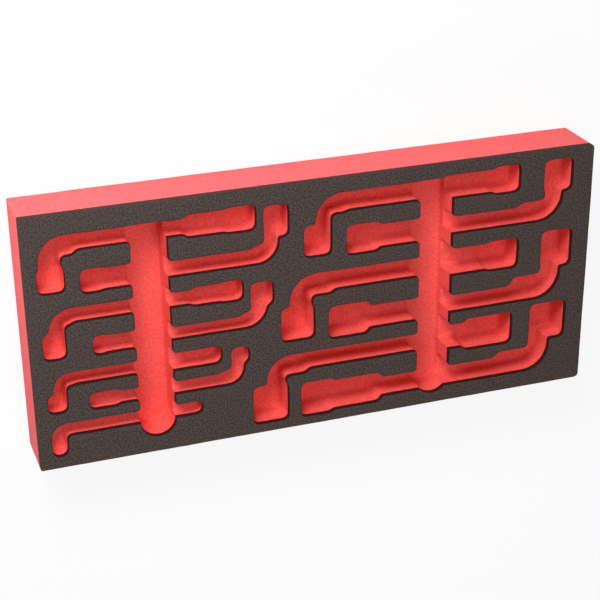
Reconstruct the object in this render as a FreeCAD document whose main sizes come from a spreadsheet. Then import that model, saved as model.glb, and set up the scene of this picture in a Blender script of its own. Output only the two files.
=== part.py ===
"""Foam tool insert: a block of two bonded foams with recesses for thirteen angled socket wrenches.

A red foam core carries a thin black face layer. Both are cut by the same recesses: one for each
wrench, and two finger troughs that run across them. The block lies flat, its black face up (+Z),
its length along X and its width along Y. The origin is the middle of its underside.
"""
import FreeCAD, Part
import math
import os
import Sketcher

doc = FreeCAD.newDocument("foam_tool_insert")
sizes = doc.addObject("Spreadsheet::Sheet", "Sizes")

# Sizes of the block, the troughs and the cutters, in millimetres.
BLOCK_SIZES = {
    "core_height": 38.0,
    "layer_thickness": 4.0,
    "block_corner": 3.5,
    "inner_bend": 3.0,
    "cutter_overlap": 6.0,
    "cutter_above": 3.0,
    "trough_width": 25.6,
    "trough_depth": 25.0,
    "trough_over": 0.4,
    "trough_corner": 3.0,
    "left_trough_x": 86.0,
    "left_trough_end": 11.8,
    "right_trough_x": 295.5,
    "right_trough_end": 8.4,
    "right_margin": 13.3,
    "back_margin": 8.15,
}

# The block ends a margin beyond the head that reaches furthest right, and the one furthest back.
OUTER_SIZES = {
    "block_length": "=w17_leg_x + w17_head_out + right_margin",
    "block_width": "=w15_row + w15_head_far + back_margin",
}

# Each wrench lies on its row, the middle of its shank. Lengths run from the outside of its leg, at
# leg_x, along the shank, and across it from the row towards the side where the leg ends. Rows are
# measured from the block's front edge, and leg_x and trough_x from its left end.
WRENCH_COLUMNS = (
    "row", "leg_x", "shank", "leg", "bend", "elbow_in", "elbow_to", "elbow_slope",
    "head_out", "head", "head_near", "head_far",
    "body_from", "body", "socket_from", "socket", "end",
    "shank_depth", "socket_depth", "corner",
)
LEFT, RIGHT = 0, 180
WRENCHES = {
    "w13": (LEFT, 166.85, 11.0, 11.7, 15.1, 18.0, 9.3, 25.0, 1.5,
            1.7, 18.6, 15.9, 35.0, 99.5, 16.8, 127.5, 18.8, 150.4, 14.5, 16.5, 3.0),
    "w12": (RIGHT, 137.65, 177.5, 11.9, 10.8, 15.3, 8.9, 17.5, 4.0,
            7.4, 18.3, 12.1, 36.4, 91.5, 16.0, 122.5, 17.9, 139.4, 15.0, 16.3, 3.0),
    "w11": (LEFT, 114.65, 14.0, 11.0, 11.2, 17.0, 7.45, 17.0, 1.5,
            4.6, 15.8, 11.4, 31.7, 98.5, 14.2, 119.0, 15.9, 137.0, 13.0, 14.5, 3.0),
    "w10": (RIGHT, 89.55, 168.9, 9.9, 12.9, 16.3, 7.45, 20.0, 1.5,
            4.1, 17.0, 10.0, 28.9, 83.0, 13.4, 114.0, 14.9, 125.4, 12.0, 14.0, 3.0),
    "w09": (LEFT, 67.75, 13.8, 10.0, 9.2, 13.0, 6.0, 15.0, 1.0,
            4.4, 13.6, 10.5, 25.4, 0.0, 0.0, 72.0, 13.7, 120.0, 12.5, 14.0, 3.0),
    "w08": (RIGHT, 47.5, 150.5, 10.1, 9.9, 12.0, 7.0, 18.0, 3.0,
            3.7, 13.6, 10.0, 23.7, 0.0, 0.0, 89.5, 13.1, 112.5, 9.7, 10.4, 3.0),
    "w07": (LEFT, 29.0, 9.9, 10.0, 10.9, 11.0, 5.0, 0.0, 0.0,
            0.0, 0.0, 0.0, 20.5, 0.0, 0.0, 0.0, 0.0, 109.0, 9.5, 0.0, 3.0),
    "w14": (LEFT, 169.7, 204.3, 14.0, 12.0, 19.5, 8.5, 23.5, 1.5,
            8.6, 20.6, 14.4, 38.4, 95.0, 17.8, 134.5, 21.3, 156.1, 17.5, 19.5, 4.0),
    "w15": (RIGHT, 140.15, 395.1, 13.1, 14.4, 19.2, 9.85, 34.5, 1.5,
            7.1, 23.0, 14.9, 39.7, 99.6, 17.9, 142.0, 22.6, 167.8, 18.0, 18.8, 4.0),
    "w16": (LEFT, 111.6, 184.7, 14.7, 17.0, 20.0, 10.0, 33.3, 1.5,
            6.5, 25.1, 16.1, 42.7, 111.0, 20.8, 151.0, 23.3, 176.6, 19.0, 22.5, 4.0),
    "w17": (RIGHT, 78.6, 396.4, 13.6, 16.2, 20.0, 13.7, 39.5, 1.5,
            8.3, 24.9, 16.8, 46.6, 101.0, 18.0, 151.0, 25.8, 182.7, 19.0, 22.5, 4.0),
    "w18": (LEFT, 51.8, 166.7, 13.6, 14.4, 18.4, 9.9, 31.3, 1.5,
            10.5, 26.8, 14.4, 44.9, 129.0, 19.8, 153.0, 25.6, 192.5, 20.0, 23.0, 4.0),
    "w19": (RIGHT, 20.4, 391.1, 15.8, 17.4, 20.0, 12.2, 44.4, 1.5,
            12.2, 29.6, 16.6, 47.2, 136.0, 24.1, 172.6, 27.8, 198.8, 21.5, 24.5, 4.0),
}
# Shares of a side that a bend and any other corner may take up, and the radius of a round end.
BEND_SHARE = 0.8
CORNER_SHARE = 0.45
ROUND_END = 20.0


def fill_sheet():
    """Write every driving dimension into the sheet, the wrenches as one row each."""
    for row, (alias, value) in enumerate(BLOCK_SIZES.items(), start=1):
        sizes.set(f"A{row}", alias)
        sizes.set(f"B{row}", str(value))
        sizes.setAlias(f"B{row}", alias)
    first_row = len(BLOCK_SIZES) + 2
    for row, (wrench, (_, *values)) in enumerate(WRENCHES.items(), start=first_row):
        sizes.set(f"A{row}", wrench)
        for column, (dimension, value) in enumerate(zip(WRENCH_COLUMNS, values), start=1):
            cell = f"{chr(ord('A') + column)}{row}"
            sizes.set(cell, str(value))
            sizes.setAlias(cell, f"{wrench}_{dimension}")
    for row, (alias, formula) in enumerate(OUTER_SIZES.items(), start=first_row + len(WRENCHES) + 1):
        sizes.set(f"A{row}", alias)
        sizes.set(f"B{row}", formula)
        sizes.setAlias(f"B{row}", alias)
    doc.recompute()


def size(alias):
    """The value of one cell of the sheet."""
    return float(sizes.get(alias))


def place(item, x, y, z):
    """Bind a place, measured from the block's front left corner, to the sheet."""
    item.setExpression(".Placement.Base.x", f"{x} - Sizes.block_length / 2")
    item.setExpression(".Placement.Base.y", f"{y} - Sizes.block_width / 2")
    item.setExpression(".Placement.Base.z", z)


def round_edges(solid, name, radius_of):
    """Round those edges of a solid for which radius_of gives a radius."""
    doc.recompute()
    fillet = doc.addObject("Part::Fillet", name)
    fillet.Base = solid
    radii = [(number, radius_of(edge)) for number, edge in enumerate(solid.Shape.Edges, start=1)]
    fillet.Edges = [(number, radius, radius) for number, radius in radii if radius > 0]
    return fillet


def is_upright(edge):
    """Whether an edge runs along Z."""
    span = edge.BoundBox
    return span.XLength + span.YLength < 0.001 < span.ZLength


def turned(angle, wrench, along, across):
    """Place of a point of a wrench, as expressions in X and Y."""
    sign = "+" if angle == LEFT else "-"
    back = "-" if angle == LEFT else "+"
    return f"Sizes.{wrench}_leg_x {sign} ({along})", f"Sizes.{wrench}_row {back} ({across})"


def pocket(name, angle, wrench, along, across, depth):
    """A recess with a rectangular mouth and rounded corners."""
    (start, stop), (near, far) = along, across
    box = doc.addObject("Part::Box", name)
    box.setExpression("Length", f"{stop} - ({start})")
    box.setExpression("Width", f"{far} - ({near})")
    box.setExpression("Height", f"{depth} + Sizes.cutter_above")
    box.Placement.Rotation = FreeCAD.Rotation(FreeCAD.Vector(0, 0, 1), angle)
    x, y = turned(angle, wrench, start, far)
    place(box, x, y, f"Sizes.core_height + Sizes.layer_thickness - ({depth})")
    corner = size(f"{wrench}_corner")
    return round_edges(box, f"{name}_corners", lambda edge: corner if is_upright(edge) else 0)


def outline(name, points):
    """A closed sketch of straight sides whose corners are bound to the sheet."""
    sketch = doc.addObject("Sketcher::SketchObject", name)
    count = len(points)
    for number in range(count):
        start = FreeCAD.Vector(number, number * number, 0)
        following = (number + 1) % count
        stop = FreeCAD.Vector(following, following * following, 0)
        sketch.addGeometry(Part.LineSegment(start, stop), False)
    for number in range(count):
        sketch.addConstraint(Sketcher.Constraint("Coincident", number, 2, (number + 1) % count, 1))
    for number, (across, up) in enumerate(points):
        for direction, value in (("DistanceX", across), ("DistanceY", up)):
            index = sketch.addConstraint(Sketcher.Constraint(direction, -1, 1, number, 1, 1.0))
            sketch.setExpression(f"Constraints[{index}]", value)
    return sketch


def largest_radius(before, after, share):
    """The radius between two sides that takes up a share of the shorter one."""
    incoming = before.EndPoint - before.StartPoint
    outgoing = after.EndPoint - after.StartPoint
    half_turn = incoming.getAngle(outgoing) / 2
    return share * min(incoming.Length, outgoing.Length) / math.tan(half_turn)


def channel(angle, wrench):
    """The recess of a wrench's shank, its elbow and its bent leg."""
    own = f"Sizes.{wrench}_"
    half = f"{own}shank / 2"
    has_head = size(f"{wrench}_head") > 0
    has_body = size(f"{wrench}_body") > 0
    overlap = " + Sizes.cutter_overlap"
    reach = f"{own}end"
    if has_head:
        reach = f"{own}body_from{overlap}" if has_body else f"{own}socket_from{overlap}"
    leg_end = f"{own}head_near{overlap}" if has_head else f"{own}head_far"
    points = [("0", half), ("0", f"-({leg_end})"), (f"{own}leg", f"-({leg_end})")]
    if has_head:
        points.append((f"{own}leg", f"-{own}elbow_in"))
        points.append((f"{own}elbow_to - {own}elbow_slope", f"-{own}elbow_in"))
        points.append((f"{own}elbow_to + {own}elbow_slope", f"-({half})"))
    else:
        points.append((f"{own}leg", f"-({half})"))
    points.append((reach, f"-({half})"))
    points.append((reach, half))
    sketch = outline(f"{wrench}_outline", points)
    sketch.Placement.Rotation = FreeCAD.Rotation(FreeCAD.Vector(0, 0, 1), angle)
    top = "Sizes.core_height + Sizes.layer_thickness"
    place(sketch, f"{own}leg_x", f"{own}row", f"{top} - {own}shank_depth")
    solid = doc.addObject("Part::Extrusion", f"{wrench}_channel")
    solid.Base = sketch
    solid.DirMode = "Custom"
    solid.Dir = FreeCAD.Vector(0, 0, 1)
    solid.Solid = True
    solid.setExpression("LengthFwd", f"{own}shank_depth + Sizes.cutter_above")
    doc.recompute()

    corner = size(f"{wrench}_corner")
    radii = [corner if has_head else ROUND_END] * len(points)
    radii[0] = size(f"{wrench}_bend")
    radii[3] = size("inner_bend")
    sides = sketch.Geometry
    for number, radius in enumerate(radii):
        share = BEND_SHARE if number == 0 else CORNER_SHARE
        radii[number] = min(radius, largest_radius(sides[number - 1], sides[number], share))
    corners = [sketch.Placement.multVec(side.StartPoint) for side in sides]

    def radius_of(edge):
        """The radius of the corner of the outline that an upright edge stands on."""
        if not is_upright(edge):
            return 0
        middle = edge.BoundBox.Center
        distances = [(middle.x - point.x) ** 2 + (middle.y - point.y) ** 2 for point in corners]
        return radii[distances.index(min(distances))]

    return round_edges(solid, f"{wrench}_channel_corners", radius_of)


def wrench_recess(wrench, angle):
    """All the cutters of one wrench: its channel, the body and mouth of its socket, and its head."""
    own = f"Sizes.{wrench}_"
    cutters = [channel(angle, wrench)]
    if size(f"{wrench}_head") > 0:
        along = (f"-{own}head_out", f"{own}head - {own}head_out")
        across = (f"{own}head_near", f"{own}head_far")
        cutters.append(pocket(f"{wrench}_head_pocket", angle, wrench, along, across,
                              f"{own}socket_depth"))
        along = (f"{own}socket_from", f"{own}end")
        across = (f"-{own}socket / 2", f"{own}socket / 2")
        cutters.append(pocket(f"{wrench}_socket_pocket", angle, wrench, along, across,
                              f"{own}socket_depth"))
    if size(f"{wrench}_body") > 0:
        along = (f"{own}body_from", f"{own}socket_from + Sizes.cutter_overlap")
        across = (f"-{own}body / 2", f"{own}body / 2")
        cutters.append(pocket(f"{wrench}_body_pocket", angle, wrench, along, across,
                              f"({own}shank_depth + {own}socket_depth) / 2"))
    return cutters


def trough(side, top_wrench):
    """A finger trough: square at the top row, round at its other end."""
    middle = f"Sizes.{side}_trough_x"
    end = f"Sizes.{side}_trough_end"
    top = f"Sizes.{top_wrench}_row + Sizes.{top_wrench}_shank / 2 + Sizes.trough_over"
    box = doc.addObject("Part::Box", f"{side}_trough")
    box.setExpression("Length", "Sizes.trough_width")
    box.setExpression("Width", f"{top} - {end}")
    box.setExpression("Height", "Sizes.trough_depth + Sizes.cutter_above")
    face = "Sizes.core_height + Sizes.layer_thickness"
    place(box, f"{middle} - Sizes.trough_width / 2", end, f"{face} - Sizes.trough_depth")
    doc.recompute()
    lowest_y = box.Shape.BoundBox.YMin
    small = size("trough_corner")
    full = 0.499 * size("trough_width")

    def radius_of(edge):
        """A half circle at the low end, a small corner at the top."""
        if not is_upright(edge):
            return 0
        return full if edge.BoundBox.YMax < lowest_y + 0.001 else small

    return round_edges(box, f"{side}_trough_corners", radius_of)


def slab(name, height, bottom):
    """A plain slab of the block's outline, its four upright edges rounded."""
    box = doc.addObject("Part::Box", name)
    box.setExpression("Length", "Sizes.block_length")
    box.setExpression("Width", "Sizes.block_width")
    box.setExpression("Height", height)
    place(box, "0", "0", bottom)
    corner = size("block_corner")
    return round_edges(box, f"{name}_corners", lambda edge: corner if is_upright(edge) else 0)


def cut_foam(label, blank, recesses):
    """One foam of the block: its slab less all the recesses."""
    foam = doc.addObject("Part::Cut", label)
    foam.Base = blank
    foam.Tool = recesses
    foam.Label = label
    return foam


def export(foams):
    """Check the document and write each foam to its own file."""
    doc.recompute()
    broken = [item.Name for item in doc.Objects if {"Invalid", "Error"} & set(item.State)]
    if broken:
        raise RuntimeError(f"not recomputed: {broken}")
    os.makedirs("parts", exist_ok=True)
    for foam in foams:
        shape = foam.Shape
        if shape.isNull() or not shape.isValid():
            raise RuntimeError(f"{foam.Label} has no valid shape")
        shape.exportStep(f"parts/{foam.Label}.step")
        print(foam.Label, len(shape.Solids), round(shape.Volume), len(shape.Faces))


fill_sheet()
cutters = []
for name, (side, *_) in WRENCHES.items():
    cutters.extend(wrench_recess(name, side))
cutters.append(trough("left", "w13"))
cutters.append(trough("right", "w14"))
recesses = doc.addObject("Part::MultiFuse", "recesses")
recesses.Shapes = cutters
core = cut_foam("foam_core", slab("core_slab", "Sizes.core_height", "0"), recesses)
layer_slab = slab("layer_slab", "Sizes.layer_thickness", "Sizes.core_height")
layer = cut_foam("face_layer", layer_slab, recesses)
export([core, layer])
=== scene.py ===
import math

import bpy
import numpy as np
from mathutils import Matrix, Vector
from mathutils.geometry import delaunay_2d_cdt


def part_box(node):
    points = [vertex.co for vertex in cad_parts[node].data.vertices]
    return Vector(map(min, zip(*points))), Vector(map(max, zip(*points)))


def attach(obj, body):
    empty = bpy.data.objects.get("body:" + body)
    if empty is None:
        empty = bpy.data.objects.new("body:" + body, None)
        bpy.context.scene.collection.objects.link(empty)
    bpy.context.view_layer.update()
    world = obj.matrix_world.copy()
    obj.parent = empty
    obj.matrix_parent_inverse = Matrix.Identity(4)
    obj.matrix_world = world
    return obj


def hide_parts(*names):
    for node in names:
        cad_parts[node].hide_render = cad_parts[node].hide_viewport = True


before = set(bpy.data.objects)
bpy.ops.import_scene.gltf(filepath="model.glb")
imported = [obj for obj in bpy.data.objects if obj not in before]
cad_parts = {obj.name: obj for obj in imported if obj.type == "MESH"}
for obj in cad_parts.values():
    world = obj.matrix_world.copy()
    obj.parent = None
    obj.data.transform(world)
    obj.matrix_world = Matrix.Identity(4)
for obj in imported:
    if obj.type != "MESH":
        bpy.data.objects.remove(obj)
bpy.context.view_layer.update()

MM = 0.001

# Levels of the block, in millimetres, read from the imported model.
CORE_LOW, CORE_HIGH = (np.array(corner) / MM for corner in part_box("foam_core"))
FACE_LOW, FACE_HIGH = (np.array(corner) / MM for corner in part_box("face_layer"))
FLOOR_LEVEL = CORE_LOW[2]
JOINT_LEVEL = CORE_HIGH[2]
FACE_LEVEL = FACE_HIGH[2]

# Plan of the block and of its recesses, in millimetres. The block's corners are the near left, near
# right, far right and far left ones. A channel runs on by CUTTER_OVERLAP into the pocket that it
# opens into, and SOFTENING is the width over which corners and steps become smooth bends.
BLOCK_CORNERS = (1.8, 3.5, 3.0, 1.2)
INNER_BEND = 3.0
POCKET_CORNER = 4.0
CUTTER_OVERLAP = 6.0
SOFTENING = 1.4

# Two finger troughs: the wrench on the top row that each one crosses, its middle and its near end.
# Each ends TROUGH_OVER past that row's channel, and its walls meet its floor in TROUGH_FLOOR.
TROUGHS = (("w13", -123.0, -82.2), ("w14", 86.5, -85.6))
TROUGH_WIDTH = 25.6
TROUGH_DEPTH = 25.0
TROUGH_OVER = 0.4
TROUGH_FLOOR = 2.2

# Corners of the tongues of foam between the channels, where they end at a trough. The arc of each
# is on a strip, which runs on along the trough's side by STRIP_RUN, lies STRIP_INSET inside the
# trough there, and reaches back into the channel by STRIP_BACK.
TONGUE_CORNER = 0.6
TONGUE_ARC = np.radians(np.linspace(0, 90, 6))
STRIP_RUN = 3.0
STRIP_INSET = 0.1
STRIP_BACK = 1.0

# Soft edges of the cut foam, in millimetres: the mouths of the recesses, the outer edge of the
# face, the edge of the underside, and the lip where a channel's floor comes out in a trough. A wall
# leans by WALL_LEAN, and a point that is nearer to its top than LEANING_BELOW is on the wall. A
# ramp between two floors is RAMP_LENGTH long.
MOUTH_ROUND = 0.7
RIM_ROUND = 0.5
FOOT_ROUND = 1.0
LIP_ROUND = 1.5
WALL_LEAN = 0.25
LEANING_BELOW = 0.97 * WALL_LEAN
RAMP_LENGTH = 6.0

# Waves in the cut foam, each as its height and its length in millimetres and its seed. They repeat
# after LATTICE lengths.
WAVES = ((0.14, 26.0, 5), (0.07, 7.0, 6))
LATTICE = 32

# Spacing of the mesh, in millimetres, and how far its points scatter, as a share of their spacing.
SIDE_STEP = 2.0
ARC_STEP = 0.9
SOFT_STEP = 1.3
WALL_STEP = 3.0
FLOOR_STEP = 1.9
FACE_STEP = 3.6
UNDER_STEP = 9.0
GRID_INSET = 2.0
GRID_SCATTER = 0.3
GRID_SEED = 11
QUARTER_ANGLES = (30, 60, 90)

# Limits of the mesh. Its points are rounded to SNAP decimals of a millimetre, and distances from a
# wall to DISTANCE_DIGITS. Two arcs take up at most SIDE_USED of the side between them. Distances
# are worked out for POINTS_AT_ONCE points at a time, and only within NEAR_MARGIN of a recess.
# Edges sharper than SHARP_ANGLE, in degrees, are shaded sharp.
SNAP = 3
DISTANCE_DIGITS = 2
MERGE_DISTANCE = 1e-4
SIDE_USED = 0.98
LEAST_SQUARE = 1e-12
POINTS_AT_ONCE = 1000
NEAR_MARGIN = 1.0
SHARP_ANGLE = 38

# Each wrench lies on its row, the middle of its shank. Lengths run from the outside of its leg, at
# leg_x, along the shank, and across it from the row towards the side where the leg ends.
WRENCH_COLUMNS = (
    "row", "leg_x", "shank", "leg", "bend", "elbow_in", "elbow_to", "elbow_slope",
    "head_out", "head", "head_near", "head_far",
    "body_from", "body", "socket_from", "socket", "end",
    "shank_depth", "socket_depth", "floor",
)
LEFT, RIGHT = 1, -1
WRENCHES = {
    "w13": (LEFT, 72.85, -198.0, 11.7, 15.1, 18.0, 9.3, 25.0, 1.5,
            1.7, 18.6, 15.9, 35.0, 99.5, 16.8, 127.5, 18.8, 150.4, 14.5, 16.5, 2.5),
    "w12": (RIGHT, 43.65, -31.5, 11.9, 10.8, 15.3, 8.9, 17.5, 4.0,
            7.4, 18.3, 12.1, 36.4, 91.5, 16.0, 122.5, 17.9, 139.4, 15.0, 16.3, 2.5),
    "w11": (LEFT, 20.65, -195.0, 11.0, 11.2, 17.0, 7.45, 17.0, 1.5,
            4.6, 15.8, 11.4, 31.7, 98.5, 14.2, 119.0, 15.9, 137.0, 13.0, 14.5, 2.5),
    "w10": (RIGHT, -4.45, -40.1, 9.9, 12.9, 16.3, 7.45, 20.0, 1.5,
            4.1, 17.0, 10.0, 28.9, 83.0, 13.4, 114.0, 14.9, 125.4, 12.0, 14.0, 2.5),
    "w09": (LEFT, -26.25, -195.2, 10.0, 9.2, 13.0, 6.0, 15.0, 1.0,
            4.4, 13.6, 10.5, 25.4, 0.0, 0.0, 72.0, 13.7, 120.0, 12.5, 14.0, 2.5),
    "w08": (RIGHT, -46.5, -58.5, 10.1, 9.9, 12.0, 7.0, 18.0, 3.0,
            3.7, 13.6, 10.0, 23.7, 0.0, 0.0, 89.5, 13.1, 112.5, 9.7, 10.4, 2.5),
    "w07": (LEFT, -65.0, -199.1, 10.0, 10.9, 11.0, 5.0, 0.0, 0.0,
            0.0, 0.0, 0.0, 20.5, 0.0, 0.0, 0.0, 0.0, 109.0, 9.5, 0.0, 2.5),
    "w14": (LEFT, 75.7, -4.7, 14.0, 12.0, 19.5, 8.5, 23.5, 1.5,
            8.6, 20.6, 14.4, 38.4, 95.0, 17.8, 134.5, 21.3, 156.1, 17.5, 19.5, 3.5),
    "w15": (RIGHT, 46.15, 186.1, 13.1, 14.4, 19.2, 9.85, 34.5, 1.5,
            7.1, 23.0, 14.9, 39.7, 99.6, 17.9, 142.0, 22.6, 167.8, 18.0, 18.8, 3.5),
    "w16": (LEFT, 17.6, -24.3, 14.7, 17.0, 20.0, 10.0, 33.3, 1.5,
            6.5, 25.1, 16.1, 42.7, 111.0, 20.8, 151.0, 23.3, 176.6, 19.0, 22.5, 3.5),
    "w17": (RIGHT, -15.4, 187.4, 13.6, 16.2, 20.0, 13.7, 39.5, 1.5,
            8.3, 24.9, 16.8, 46.6, 101.0, 18.0, 151.0, 25.8, 182.7, 19.0, 22.5, 3.5),
    "w18": (LEFT, -42.2, -42.3, 13.6, 14.4, 18.4, 9.9, 31.3, 1.5,
            10.5, 26.8, 14.4, 44.9, 129.0, 19.8, 153.0, 25.6, 192.5, 20.0, 23.0, 3.5),
    "w19": (RIGHT, -73.6, 182.1, 15.8, 17.4, 20.0, 12.2, 44.4, 1.5,
            12.2, 29.6, 16.6, 47.2, 136.0, 24.1, 172.6, 27.8, 198.8, 21.5, 24.5, 3.5),
}


def rounded_outline(corners, radii):
    """A closed outline: at each corner an arc that touches both sides, straight between the arcs.

    The arc of a corner that turns by an angle takes up radius times the tangent of half that
    angle on each side. Where two arcs want more than their side has, both shrink in proportion.
    """
    corners = np.array(corners, float)
    before = corners - np.roll(corners, 1, axis=0)
    lengths = np.linalg.norm(before, axis=1)
    incoming = before / lengths[:, None]
    outgoing = np.roll(incoming, -1, axis=0)
    cross = incoming[:, 0] * outgoing[:, 1] - incoming[:, 1] * outgoing[:, 0]
    turn = np.arctan2(cross, np.sum(incoming * outgoing, axis=1))
    reach = np.array(radii) * np.tan(np.abs(turn) / 2)
    room = np.minimum(1.0, SIDE_USED * lengths / (reach + np.roll(reach, 1)))
    reach = reach * np.minimum(room, np.roll(room, -1))
    radius = reach / np.tan(np.abs(turn) / 2)
    points = []
    for number, corner in enumerate(corners):
        start = corner - incoming[number] * reach[number]
        normal = np.sign(turn[number]) * np.array([-incoming[number][1], incoming[number][0]])
        centre = start + normal * radius[number]
        steps = max(2, math.ceil(radius[number] * abs(turn[number]) / ARC_STEP))
        for angle in np.linspace(0, turn[number], steps + 1):
            spoke = start - centre
            points.append((centre[0] + spoke[0] * math.cos(angle) - spoke[1] * math.sin(angle),
                           centre[1] + spoke[0] * math.sin(angle) + spoke[1] * math.cos(angle)))
        stop = np.array(points[-1])
        following = (number + 1) % len(corners)
        next_start = corners[following] - incoming[following] * reach[following]
        straight = np.linalg.norm(next_start - stop)
        pieces = max(1, math.ceil(straight / SIDE_STEP))
        for share in np.arange(1, pieces) / pieces:
            points.append(tuple(stop + (next_start - stop) * share))
    outline = np.array(points)
    return outline if signed_area(outline) > 0 else outline[::-1]


def signed_area(outline):
    """Area inside an outline, positive when it runs against the clock."""
    following = np.roll(outline, -1, axis=0)
    return np.sum(outline[:, 0] * following[:, 1] - outline[:, 1] * following[:, 0]) / 2


def offset(outline, distance):
    """The outline moved to its left, which is inwards, along the normal at each point.

    The normal is a quarter turn from the line between the two neighbouring points.
    """
    along = np.roll(outline, -1, axis=0) - np.roll(outline, 1, axis=0)
    along /= np.linalg.norm(along, axis=1)[:, None]
    return outline + distance * np.stack([-along[:, 1], along[:, 0]], axis=1)


def distance_to(starts, stops, points):
    """Distance of each point to the nearest of the straight sides from starts to stops.

    The nearest point of a side is at the share of it that the point's projection falls on, held
    between its two ends.
    """
    span = stops - starts
    square = np.maximum(np.sum(span * span, axis=1), LEAST_SQUARE)
    nearest = np.empty(len(points))
    for first in range(0, len(points), POINTS_AT_ONCE):
        away = points[first:first + POINTS_AT_ONCE, None] - starts
        share = np.clip(np.sum(away * span, axis=2) / square, 0, 1)
        gap = away - share[..., None] * span
        least = np.min(np.sum(gap * gap, axis=2), axis=1)
        nearest[first:first + POINTS_AT_ONCE] = np.sqrt(least)
    return nearest


def fillet(distance, radius):
    """Height of a quarter circle above its floor, at a distance from the wall that it meets.

    It is the radius less the root of the radius squared less the inside squared, where the inside
    is how far the point is inside the quarter circle's foot.
    """
    inside = np.clip(radius - np.round(distance, DISTANCE_DIGITS), 0, radius)
    return radius - np.sqrt(radius * radius - inside * inside)


def quarter(radius):
    """Distances from the wall at which a quarter circle is drawn."""
    return [radius * (1 - math.cos(math.radians(angle))) for angle in QUARTER_ANGLES]


def eased(share):
    """A share from 0 to 1 that leaves and arrives level: three of its squares less two cubes."""
    return share * share * (3 - 2 * share)


class Recess:
    """One recess: its outline, its depth below the face, its ramps and the radius along its floor.

    A ramp is a direction, how far along it the ramp begins, and how much deeper the floor is after
    it.
    """

    def __init__(self, outline, depth, ramps, floor):
        self.outline = outline
        self.depth = depth
        self.ramps = ramps
        self.floor = floor

    def depth_at(self, points):
        """Depth at points: each ramp goes down over RAMP_LENGTH, level where it begins and ends."""
        depth = np.full(len(points), self.depth)
        for direction, start, rise in self.ramps:
            share = np.clip((points @ direction - start) / RAMP_LENGTH, 0, 1)
            depth += rise * eased(share)
        return depth


def merged(outlines):
    """The outline around several outlines that overlap."""
    points = [Vector(point) for outline in outlines for point in outline]
    firsts = np.cumsum([0] + [len(outline) for outline in outlines])
    faces = [list(range(first, stop)) for first, stop in zip(firsts[:-1], firsts[1:])]
    found = delaunay_2d_cdt(points, [], faces, 1, MERGE_DISTANCE)
    places = np.array([tuple(vector) for vector in found[0]], float)
    after = dict(border(against_clock(places, np.array(found[2]))).tolist())
    order = [next(iter(after))]
    while after[order[-1]] != order[0]:
        order.append(after[order[-1]])
    return places[order]


def softened(outline):
    """An outline averaged along its length by a bell curve as wide as SOFTENING.

    Corners, and the steps between a channel and its pockets, become smooth bends. The outline is
    split into waves, and each wave is multiplied by e to the power of minus twice the square of pi
    times SOFTENING times its waves per millimetre.
    """
    closed = np.vstack([outline, outline[:1]])
    length = np.concatenate([[0], np.cumsum(np.linalg.norm(np.diff(closed, axis=0), axis=1))])
    count = round(length[-1] / SOFT_STEP)
    along = np.arange(count) * length[-1] / count
    even = np.interp(along, length, closed[:, 0]) + 1j * np.interp(along, length, closed[:, 1])
    waves = np.fft.fftfreq(count, length[-1] / count)
    soft = np.fft.ifft(np.fft.fft(even) * np.exp(-2 * (math.pi * SOFTENING * waves) ** 2))
    return np.column_stack([soft.real, soft.imag])


def wrench_recess(side, values):
    """The channel of a wrench's shank and leg, and the pockets of its head, body and socket."""
    size = dict(zip(WRENCH_COLUMNS, values))
    half = size["shank"] / 2
    corner = POCKET_CORNER
    has_head = size["head"] > 0
    has_body = size["body"] > 0

    def placed(points, radii):
        """A rounded outline of points along and across the wrench."""
        return rounded_outline([(size["leg_x"] + side * along, size["row"] - side * across)
                                for along, across in points], radii)

    def pocket(start, stop, near, far):
        """A pocket with a rectangular mouth."""
        return placed([(start, near), (stop, near), (stop, far), (start, far)], [corner] * 4)

    if not has_head:
        outline = placed([(0, -half), (0, size["head_far"]), (size["leg"], size["head_far"]),
                          (size["leg"], half), (size["end"], half), (size["end"], -half)],
                         [size["bend"], half, half, INNER_BEND, half, half])
        return Recess(with_tongue_corners(outline), size["shank_depth"], [], size["floor"])

    reach = (size["body_from"] if has_body else size["socket_from"]) + CUTTER_OVERLAP
    leg_end = size["head_near"] + CUTTER_OVERLAP
    slope_start = size["elbow_to"] - size["elbow_slope"]
    slope_end = size["elbow_to"] + size["elbow_slope"]
    outlines = [
        placed([(0, -half), (0, leg_end), (size["leg"], leg_end), (size["leg"], size["elbow_in"]),
                (slope_start, size["elbow_in"]), (slope_end, half), (reach, half), (reach, -half)],
               [size["bend"], corner, corner, INNER_BEND, corner, corner, corner, corner]),
        pocket(-size["head_out"], size["head"] - size["head_out"],
               size["head_near"], size["head_far"]),
        pocket(size["socket_from"], size["end"], -size["socket"] / 2, size["socket"] / 2),
    ]
    along, across = np.array([side, 0]), np.array([0, -side])
    at_leg, at_row = side * size["leg_x"], -side * size["row"]
    deeper = size["socket_depth"] - size["shank_depth"]
    ramps = [(across, at_row + size["head_near"], deeper)]
    if has_body:
        outlines.append(pocket(size["body_from"], size["socket_from"] + CUTTER_OVERLAP,
                               -size["body"] / 2, size["body"] / 2))
        deeper /= 2
        ramps.append((along, at_leg + size["body_from"], deeper))
    ramps.append((along, at_leg + size["socket_from"], deeper))
    return Recess(with_tongue_corners(merged(outlines)), size["shank_depth"], ramps, size["floor"])


def trough_top(top_wrench):
    """Where a trough ends above the top row of the wrenches that it crosses."""
    _, row, _, shank, *_ = WRENCHES[top_wrench]
    return row + shank / 2 + TROUGH_OVER


def trough_recess(top_wrench, middle, end):
    """A finger trough: square where the top row passes it, round at its other end."""
    top = trough_top(top_wrench)
    half = TROUGH_WIDTH / 2
    left, right = middle - half, middle + half
    outline = rounded_outline([(left, end), (right, end), (right, top), (left, top)],
                              [half, half, TONGUE_CORNER, TONGUE_CORNER])
    return Recess(outline, TROUGH_DEPTH, [], TROUGH_FLOOR)


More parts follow.
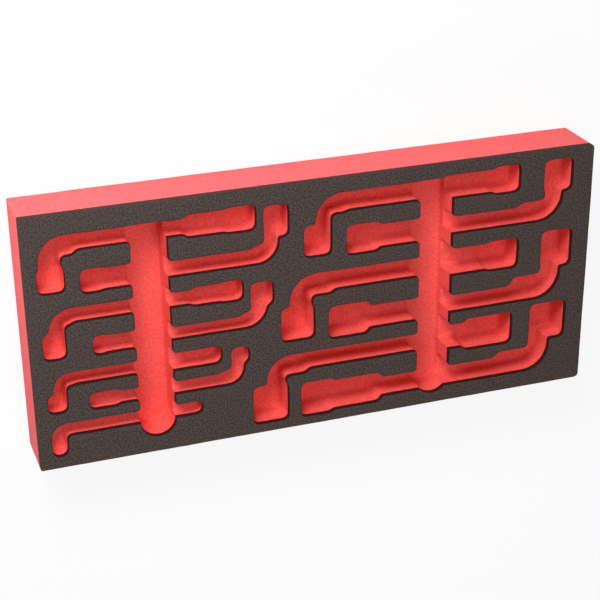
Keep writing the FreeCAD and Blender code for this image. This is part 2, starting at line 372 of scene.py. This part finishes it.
def crossings(outline, x):
    """Where an outline crosses the upright line at x, as values of y."""
    following = np.roll(outline, -1, axis=0)
    crossed = (outline[:, 0] - x) * (following[:, 0] - x) < 0
    start, stop = outline[crossed], following[crossed]
    share = (x - start[:, 0]) / (stop[:, 0] - start[:, 0])
    return start[:, 1] + share * (stop[:, 1] - start[:, 1])


def with_tongue_corners(outline):
    """A recess's softened outline, with the corners of foam rounded where it meets a trough.

    A strip is added over each corner. Its far edge is an arc that touches the side of the recess
    and the side of the trough. Right of a trough the far corners of the tongues stay sharp.
    """
    strips = []
    radius = TONGUE_CORNER
    for top_wrench, middle, end in TROUGHS:
        for side in (-1, 1):
            x = middle + side * TROUGH_WIDTH / 2
            found = crossings(outline, x)
            if not len(found):
                continue
            for up, y in ((-1, min(found)), (1, max(found))):
                sharp = up < 0 < side
                stop = y + up * (radius + STRIP_RUN)
                if sharp or stop < end + TROUGH_WIDTH / 2 or stop > trough_top(top_wrench):
                    continue
                arc = [(x + side * radius * (1 - math.sin(angle)),
                        y + up * radius * (1 - math.cos(angle))) for angle in TONGUE_ARC]
                inner = x - side * CUTTER_OVERLAP
                back = y - up * STRIP_BACK
                strips.append(np.array(arc + [(x - side * STRIP_INSET, stop), (inner, stop),
                                              (inner, back), (x + side * radius, back)]))
    return softened(merged([outline] + strips) if strips else outline)


def loose_grid(low, high, step):
    """Points about a step apart, each moved a little at random."""
    xs = np.arange(low[0] + GRID_INSET, high[0] - GRID_INSET, step)
    ys = np.arange(low[1] + GRID_INSET, high[1] - GRID_INSET, step)
    grid = np.stack(np.meshgrid(xs, ys), axis=-1).reshape(-1, 2)
    random = np.random.default_rng(GRID_SEED)
    return grid + random.uniform(-GRID_SCATTER, GRID_SCATTER, grid.shape) * step


def against_clock(places, triangles):
    """The triangles, each turned to run against the clock."""
    first, second, third = (places[triangles[:, corner]] for corner in range(3))
    span, other = second - first, third - first
    clockwise = span[:, 0] * other[:, 1] - span[:, 1] * other[:, 0] < 0
    return np.where(clockwise[:, None], triangles[:, ::-1], triangles)


def triangulate(outer, outlines, loops, points):
    """Triangles that follow every outline, with the outlines that each triangle lies in."""
    coordinates = [tuple(point) for point in points]
    faces = []
    edges = []
    for outline in [outer] + outlines:
        faces.append(list(range(len(coordinates), len(coordinates) + len(outline))))
        coordinates.extend(map(tuple, outline))
    for loop in loops:
        first = len(coordinates)
        count = len(loop)
        edges.extend((first + number, first + (number + 1) % count) for number in range(count))
        coordinates.extend(map(tuple, loop))
    vectors = [Vector(point) for point in coordinates]
    found = delaunay_2d_cdt(vectors, edges, faces, 1, MERGE_DISTANCE)
    places = np.array([tuple(vector) for vector in found[0]], float)
    triangles = against_clock(places, np.array(found[2]))
    inside = np.zeros((len(triangles), len(outlines)), bool)
    for number, owners in enumerate(found[5]):
        for owner in owners:
            if owner > 0:
                inside[number, owner - 1] = True
    return places, triangles, inside


def border(triangles):
    """The sides of some triangles that none of them shares, each as its two points in order."""
    sides = triangles[:, [0, 1, 1, 2, 2, 0]].reshape(-1, 2)
    count = sides.max() + 1
    shared = np.isin(sides[:, 1] * count + sides[:, 0], sides[:, 0] * count + sides[:, 1])
    return sides[~shared]


def around(outline):
    """The starts and the stops of the sides of an outline."""
    return outline, np.roll(outline, -1, axis=0)


def recess_levels(recess, own, places, triangles):
    """Height of one recess at every point that its triangles use, with those points' numbers.

    At the walls the floor rises in a quarter circle, and the wall itself leans by WALL_LEAN up to
    the glue line.
    """
    used = np.unique(triangles[own])
    away = distance_to(*places[border(triangles[own]).T], places[used])
    floor = FACE_LEVEL - recess.depth_at(places[used])
    foot = floor + recess.floor
    leaning = away < LEANING_BELOW
    level = np.where(leaning, JOINT_LEVEL - (JOINT_LEVEL - foot) * away / WALL_LEAN,
                     floor + fillet(away - WALL_LEAN, recess.floor))
    return used, level, leaning


def skirt(columns, levels):
    """Upright strips below the sides of an outline: the points and the triangles.

    Columns holds the two ends of every side, and levels the heights of each row at both ends.
    """
    rows = len(levels)
    points = np.concatenate([np.concatenate([columns, level[..., None]], axis=2).reshape(-1, 3)
                             for level in levels])
    count = 2 * len(columns)
    left = np.arange(0, count, 2)
    upper = np.concatenate([left + row * count for row in range(rows - 1)])
    lower = upper + count
    return points, np.concatenate([np.stack([upper, lower, upper + 1], axis=1),
                                   np.stack([upper + 1, lower, lower + 1], axis=1)])


def welded(surfaces):
    """One mesh of several surfaces: points that coincide are joined and flat triangles dropped."""
    corners = np.round(np.concatenate([points[faces] for points, faces in surfaces]), SNAP)
    points, numbers = np.unique(corners.reshape(-1, 3), axis=0, return_inverse=True)
    triangles = numbers.reshape(-1, 3)
    flat = (triangles == np.roll(triangles, 1, axis=1)).any(axis=1)
    return points, triangles[~flat]


def smooth_noise(points, cell, seed):
    """Vectors that vary smoothly: random ones at the corners of cubes, blended between them."""
    lattice = np.random.default_rng(seed).uniform(-1, 1, (LATTICE, LATTICE, LATTICE, 3))
    scaled = points / cell
    whole = np.floor(scaled).astype(int)
    share = eased(scaled - whole)
    total = np.zeros((len(points), 3))
    for step in np.ndindex(2, 2, 2):
        weight = np.prod(np.where(np.array(step) == 1, share, 1 - share), axis=1)
        index = (whole + step) % LATTICE
        total += weight[:, None] * lattice[index[:, 0], index[:, 1], index[:, 2]]
    return total


def uneven(points, low, high):
    """Points of cut foam moved by a fraction of a millimetre, none of them out of its box."""
    moved = points
    for height, length, seed in WAVES:
        moved = moved + height * smooth_noise(points, length, seed)
    return np.clip(moved, low, high)


def finished_piece(name, surfaces, low, high, node):
    """A mesh object of the surfaces, in metres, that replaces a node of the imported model."""
    points, triangles = welded(surfaces)
    mesh = bpy.data.meshes.new(name)
    mesh.from_pydata((uneven(points, low, high) * MM).tolist(), [], triangles.tolist())
    mesh.polygons.foreach_set("use_smooth", [True] * len(mesh.polygons))
    mesh.update()
    mesh.set_sharp_from_angle(angle=math.radians(SHARP_ANGLE))
    piece = bpy.data.objects.new(name, mesh)
    bpy.context.scene.collection.objects.link(piece)
    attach(piece, "root")
    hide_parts(node)
    return piece


def block_outline():
    """The outline of the block seen from above, its corners rounded by BLOCK_CORNERS."""
    (left, near), (right, far) = CORE_LOW[:2], CORE_HIGH[:2]
    return rounded_outline([(left, near), (right, near), (right, far), (left, far)], BLOCK_CORNERS)


def core_heights(places, triangles, inside, recesses):
    """Height of the core's upper side at every point: the lowest of all the recesses there.

    Where a channel's floor comes out in the side of a trough its edge is rounded by LIP_ROUND.
    """
    height = np.full(len(places), JOINT_LEVEL)
    lip = np.zeros(len(places))
    troughs = recesses[-len(TROUGHS):]
    for recess, own in zip(recesses, inside.T):
        used, level, leaning = recess_levels(recess, own, places, triangles)
        if recess in troughs:
            drop = fillet(distance_to(*places[border(triangles[own]).T], places), LIP_ROUND)
            drop[used] = np.where(leaning, LIP_ROUND, 0)
            lip = np.maximum(lip, drop)
        height[used] = np.minimum(height[used], level)
    return np.where(height < JOINT_LEVEL - LIP_ROUND, height - lip, height)


def milled_core(outer, recesses):
    """The red core: its upper side with every recess, its four sides and its underside.

    The upper side is at core_heights, the sides are rows of upright strips, and the underside is
    flat, with a quarter circle of FOOT_ROUND up to the sides.
    """
    loops = []
    for recess in recesses:
        steps = [0] + quarter(recess.floor)
        loops += [offset(recess.outline, WALL_LEAN + step) for step in steps]
    for trough in recesses[-len(TROUGHS):]:
        loops += [offset(trough.outline, -step) for step in quarter(LIP_ROUND)]
    grid = loose_grid(CORE_LOW, CORE_HIGH, FLOOR_STEP)
    outlines = [recess.outline for recess in recesses]
    places, triangles, inside = triangulate(outer, outlines, loops, grid)
    height = core_heights(places, triangles, inside, recesses)
    rim = border(triangles)
    foot = FLOOR_LEVEL + FOOT_ROUND
    rows = math.ceil((JOINT_LEVEL - foot) / WALL_STEP)
    levels = [np.full(rim.shape, level) for level in np.linspace(JOINT_LEVEL, foot, rows)]
    rings = [offset(outer, step) for step in quarter(FOOT_ROUND)]
    grid = loose_grid(CORE_LOW, CORE_HIGH, UNDER_STEP)
    under, under_triangles, _ = triangulate(outer, [], rings, grid)
    rise = FLOOR_LEVEL + fillet(distance_to(*around(outer), under), FOOT_ROUND)
    surfaces = [(np.column_stack([places, height]), triangles), skirt(places[rim], levels),
                (np.column_stack([under, rise]), under_triangles[:, ::-1])]
    return finished_piece("milled_core", surfaces, CORE_LOW, CORE_HIGH, "foam_core")


def face_sheet(outer, recesses):
    """The black face layer: a sheet with the recesses' outlines cut through, its edges softened.

    Its upper side is the face's level less the larger of two quarter circles, MOUTH_ROUND at the
    nearest recess and RIM_ROUND at the nearest outer side.
    """
    outlines = [recess.outline for recess in recesses]
    loops = [offset(outline, -step) for outline in outlines for step in quarter(MOUTH_ROUND)]
    loops += [offset(outer, step) for step in quarter(RIM_ROUND)]
    grid = loose_grid(FACE_LOW, FACE_HIGH, FACE_STEP)
    places, triangles, inside = triangulate(outer, outlines, loops, grid)
    gap = np.full(len(places), 2 * MOUTH_ROUND)
    for own in inside.T:
        starts, stops = places[border(triangles[own]).T]
        low, high = starts.min(axis=0) - NEAR_MARGIN, starts.max(axis=0) + NEAR_MARGIN
        near = np.all((places > low) & (places < high), axis=1)
        gap[near] = np.minimum(gap[near], distance_to(starts, stops, places[near]))
    rim = distance_to(*around(outer), places)
    height = FACE_LEVEL - np.maximum(fillet(gap, MOUTH_ROUND), fillet(rim, RIM_ROUND))
    solid = triangles[~inside.any(axis=1)]
    edge = border(solid)
    levels = [JOINT_LEVEL + (height[edge] - JOINT_LEVEL) * share for share in (1, 0.5, 0)]
    underside = np.column_stack([places, np.full(len(places), JOINT_LEVEL)])
    surfaces = [(np.column_stack([places, height]), solid), skirt(places[edge], levels),
                (underside, solid[:, ::-1])]
    return finished_piece("face_sheet", surfaces, FACE_LOW, FACE_HIGH, "face_layer")


recesses = [wrench_recess(side, values) for side, *values in WRENCHES.values()]
recesses += [trough_recess(*trough) for trough in TROUGHS]
outer = block_outline()
core = milled_core(outer, recesses)
sheet = face_sheet(outer, recesses)

# Materials, with lengths in millimetres. A cell is one opened bubble of the foam, and a bump shows
# it at its real size. A blotch is a patch of one shade. The real ones are as fine as the cells, and
# they are drawn two to three times as coarse, so that they show.
BLOTCH_DETAIL = 3.0
BLOTCH_ROUGHNESS = 0.6
DARK_UP_TO = 0.32
LIGHT_FROM = 0.68
CELL_SIZE = 0.55
CELL_DEPTH = 0.15
CELL_STRENGTH = 0.35
FOAM_SPECULAR = 0.25

# A triangle is sawn if its middle is within OUTER_BAND of the block's outside; on the core these
# are painted with a sheen. A triangle of the face layer is on a wall through it if its normal's
# upward share is below STEEP_BELOW, and unless it is sawn it is painted with red light and shade.
# The limit takes in the steeper part of the rounded mouths too, so that they are painted darker.
OUTER_BAND = 1.2
STEEP_BELOW = 0.8


def linear(hex_colour):
    """A colour written as sRGB hex, as the linear values that shaders take."""
    channels = [int(hex_colour[place:place + 2], 16) / 255 for place in (0, 2, 4)]
    values = [value / 12.92 if value <= 0.04045 else ((value + 0.055) / 1.055) ** 2.4
              for value in channels]
    return (*values, 1.0)


def add_node(tree, kind, inputs=None, **settings):
    """Add a node, set its properties, and set or link its inputs."""
    node = tree.nodes.new(kind)
    for name, value in settings.items():
        setattr(node, name, value)
    for name, value in (inputs or {}).items():
        if isinstance(value, bpy.types.NodeSocket):
            tree.links.new(value, node.inputs[name])
        else:
            node.inputs[name].default_value = value
    return node


def new_material(name, roughness):
    """A material with a Principled shader, its node tree, the shader and the output."""
    material = bpy.data.materials.new(name)
    material.use_nodes = True
    tree = material.node_tree
    tree.nodes.clear()
    shader = add_node(tree, "ShaderNodeBsdfPrincipled", {"Roughness": roughness})
    output = add_node(tree, "ShaderNodeOutputMaterial", {"Surface": shader.outputs["BSDF"]})
    return material, tree, shader, output


def foam(name, dark, light, blotch_size, roughness):
    """Cut closed-cell foam: two shades in blotches, and a fine bump of opened cells."""
    material, tree, shader, _ = new_material(name, roughness)
    place = add_node(tree, "ShaderNodeTexCoord").outputs["Object"]
    blotch = add_node(tree, "ShaderNodeTexNoise",
                      {"Vector": place, "Scale": 1 / (blotch_size * MM), "Detail": BLOTCH_DETAIL,
                       "Roughness": BLOTCH_ROUGHNESS})
    shades = add_node(tree, "ShaderNodeValToRGB", {"Fac": blotch.outputs["Fac"]})
    shades.color_ramp.elements[0].position = DARK_UP_TO
    shades.color_ramp.elements[0].color = linear(dark)
    shades.color_ramp.elements[1].position = LIGHT_FROM
    shades.color_ramp.elements[1].color = linear(light)
    cells = add_node(tree, "ShaderNodeTexVoronoi",
                     {"Vector": place, "Scale": 1 / (CELL_SIZE * MM)})
    bump = add_node(tree, "ShaderNodeBump",
                    {"Height": cells.outputs["Distance"], "Strength": CELL_STRENGTH,
                     "Distance": CELL_DEPTH * MM})
    tree.links.new(shades.outputs["Color"], shader.inputs["Base Color"])
    tree.links.new(bump.outputs["Normal"], shader.inputs["Normal"])
    shader.inputs["Specular IOR Level"].default_value = FOAM_SPECULAR
    return material


def paint(piece, materials, chosen):
    """Give every triangle of a piece the material that is chosen for it."""
    for material in materials:
        piece.data.materials.append(material)
    piece.data.polygons.foreach_set("material_index", chosen.astype(np.int32))


def triangle_facts(piece):
    """Middle, in millimetres, and normal of every triangle of a piece."""
    count = len(piece.data.polygons)
    middles = np.empty(3 * count)
    normals = np.empty(3 * count)
    piece.data.polygons.foreach_get("center", middles)
    piece.data.polygons.foreach_get("normal", normals)
    return middles.reshape(-1, 3) / MM, normals.reshape(-1, 3)


def beside(middles):
    """Whether each point is in the band along the four outer sides of the block."""
    low, high = CORE_LOW[:2] + OUTER_BAND, CORE_HIGH[:2] - OUTER_BAND
    return np.any((middles[:, :2] < low) | (middles[:, :2] > high), axis=1)


# Red polyethylene foam where a cutter has milled it: opened cells scatter the light, so that it is
# dull, with soft mottling in a deep red.
milled_red = foam("milled_red_foam", "E84E49", "FB6560", blotch_size=1.7, roughness=0.85)
# The same foam where the block was sawn to size, painted paler and pinker: a painted sheen, for the
# whitish light that fuzzy foam gives where it is seen at a grazing angle.
sawn_red_painted_sheen = foam("sawn_red_foam_painted_sheen", "E75A5C", "F86D6F", blotch_size=1.7, roughness=0.85)
middles, normals = triangle_facts(core)
sawn = beside(middles) | (middles[:, 2] < FLOOR_LEVEL + OUTER_BAND)
paint(core, [milled_red, sawn_red_painted_sheen], sawn)

# Black polyethylene foam: a charcoal surface with a salt and pepper grain of cells, and no shine.
black = foam("black_polyethylene_foam", "261F1D", "5B4E4A", blotch_size=1.2, roughness=0.9)
# Its walls in the recesses, painted a dark maroon: painted red light, for what the core throws into
# them, and painted shade under the face's edge.
cut_black_painted_light_and_shade = foam("cut_black_foam_painted_light_and_shade", "290D08", "33130D", blotch_size=1.1, roughness=0.9)
# Its outer edge, sawn with the block: a lighter brown than its walls in the recesses.
sawn_black = foam("sawn_black_foam", "3E2824", "4A302B", blotch_size=1.1, roughness=0.9)
middles, normals = triangle_facts(sheet)
steep = np.abs(normals[:, 2]) < STEEP_BELOW
paint(sheet, [black, cut_black_painted_light_and_shade, sawn_black], np.where(steep, np.where(beside(middles), 2, 1), 0))

# A studio, in metres: a floor of white paper and a white world. Uncoated paper is matt, so it has
# no shine and keeps the block's soft shadow. PAPER_GLOW is the share of plain white in it where it
# is seen directly or in a reflection, so that it is nearly white and still shows the shadow.
PAPER_REACH = 6.0
PAPER_GAP = 0.0002
PAPER_ROUGHNESS = 0.9
PAPER_GLOW = 0.87
WORLD_STRENGTH = 0.07
WHITE = (1, 1, 1, 1)

floor_mesh = bpy.data.meshes.new("floor")
floor_mesh.from_pydata([(x * PAPER_REACH, y * PAPER_REACH, 0)
                        for x, y in ((-1, -1), (1, -1), (1, 1), (-1, 1))], [], [(0, 1, 2, 3)])
floor = bpy.data.objects.new("floor", floor_mesh)
floor.location.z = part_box("foam_core")[0][2] - PAPER_GAP
bpy.context.scene.collection.objects.link(floor)
paper, tree, shader, output = new_material("white_paper", PAPER_ROUGHNESS)
shader.inputs["Base Color"].default_value = linear("F4F4F4")
rays = add_node(tree, "ShaderNodeLightPath").outputs
seen = add_node(tree, "ShaderNodeMath", {0: rays["Is Camera Ray"], 1: rays["Is Glossy Ray"]},
                operation="MAXIMUM")
seen = add_node(tree, "ShaderNodeMath", {0: seen.outputs[0], 1: rays["Is Transmission Ray"]},
                operation="MAXIMUM")
share = add_node(tree, "ShaderNodeMath", {0: seen.outputs[0], 1: PAPER_GLOW},
                 operation="MULTIPLY")
glow = add_node(tree, "ShaderNodeEmission", {"Color": WHITE, "Strength": 1.0})
mix = add_node(tree, "ShaderNodeMixShader", {0: share.outputs[0], 1: shader.outputs["BSDF"],
                                             2: glow.outputs["Emission"]})
tree.links.new(mix.outputs[0], output.inputs["Surface"])
floor.data.materials.append(paper)

world = bpy.data.worlds.new("studio")
world.use_nodes = True
background = world.node_tree.nodes["Background"]
background.inputs["Color"].default_value = WHITE
background.inputs["Strength"].default_value = WORLD_STRENGTH
bpy.context.scene.world = world

# Square soft lights, each as its place and side in metres and its power in watts. All face the
# middle of the block.
LIGHT_TARGET = Vector((0, 0, 0.04))
LIGHTS = {
    "far_softbox": ((-0.45, 1.12, 0.74), 0.5, 13.6),
    "overhead_softbox": ((0.0, 0.0, 1.4), 0.5, 5.4),
    "front_softbox": ((0.0, -1.21, 0.74), 0.5, 4.3),
    "near_left_softbox": ((-0.43, 0.43, 0.39), 0.3, 1.6),
    "low_left_softbox": ((-1.28, 0.54, 0.24), 0.5, 2.4),
}
for name, (place, side, watts) in LIGHTS.items():
    light = bpy.data.lights.new(name, "AREA")
    light.shape = "SQUARE"
    light.size = side
    light.energy = watts
    item = bpy.data.objects.new(name, light)
    item.location = place
    item.rotation_euler = (LIGHT_TARGET - Vector(place)).to_track_quat("-Z", "Y").to_euler()
    bpy.context.scene.collection.objects.link(item)

# The photograph's camera: its place in metres, the directions of its own axes, and its lens.
CAMERA_PLACE = Vector((-0.34453, 0.46332, 0.99701))
CAMERA_RIGHT = Vector((0.94430, -0.01066, 0.32892))
CAMERA_UP = Vector((0.15405, 0.89752, -0.41319))
CAMERA_BACK = Vector((-0.29081, 0.44085, 0.84917))
CAMERA_SENSOR = 36.0
CAMERA_LENS = 94.54
CAMERA_SHIFT = 50 / 600
CAMERA_NEAREST = 0.05

camera_data = bpy.data.cameras.new("camera")
camera_data.sensor_width = CAMERA_SENSOR
camera_data.lens = CAMERA_LENS
camera_data.shift_y = CAMERA_SHIFT
camera_data.clip_start = CAMERA_NEAREST
camera = bpy.data.objects.new("camera", camera_data)
turn = Matrix((CAMERA_RIGHT, CAMERA_UP, CAMERA_BACK)).transposed().to_4x4()
camera.matrix_world = Matrix.Translation(CAMERA_PLACE) @ turn
bpy.context.scene.collection.objects.link(camera)
bpy.context.scene.camera = camera
bpy.context.scene.view_settings.view_transform = "Standard"
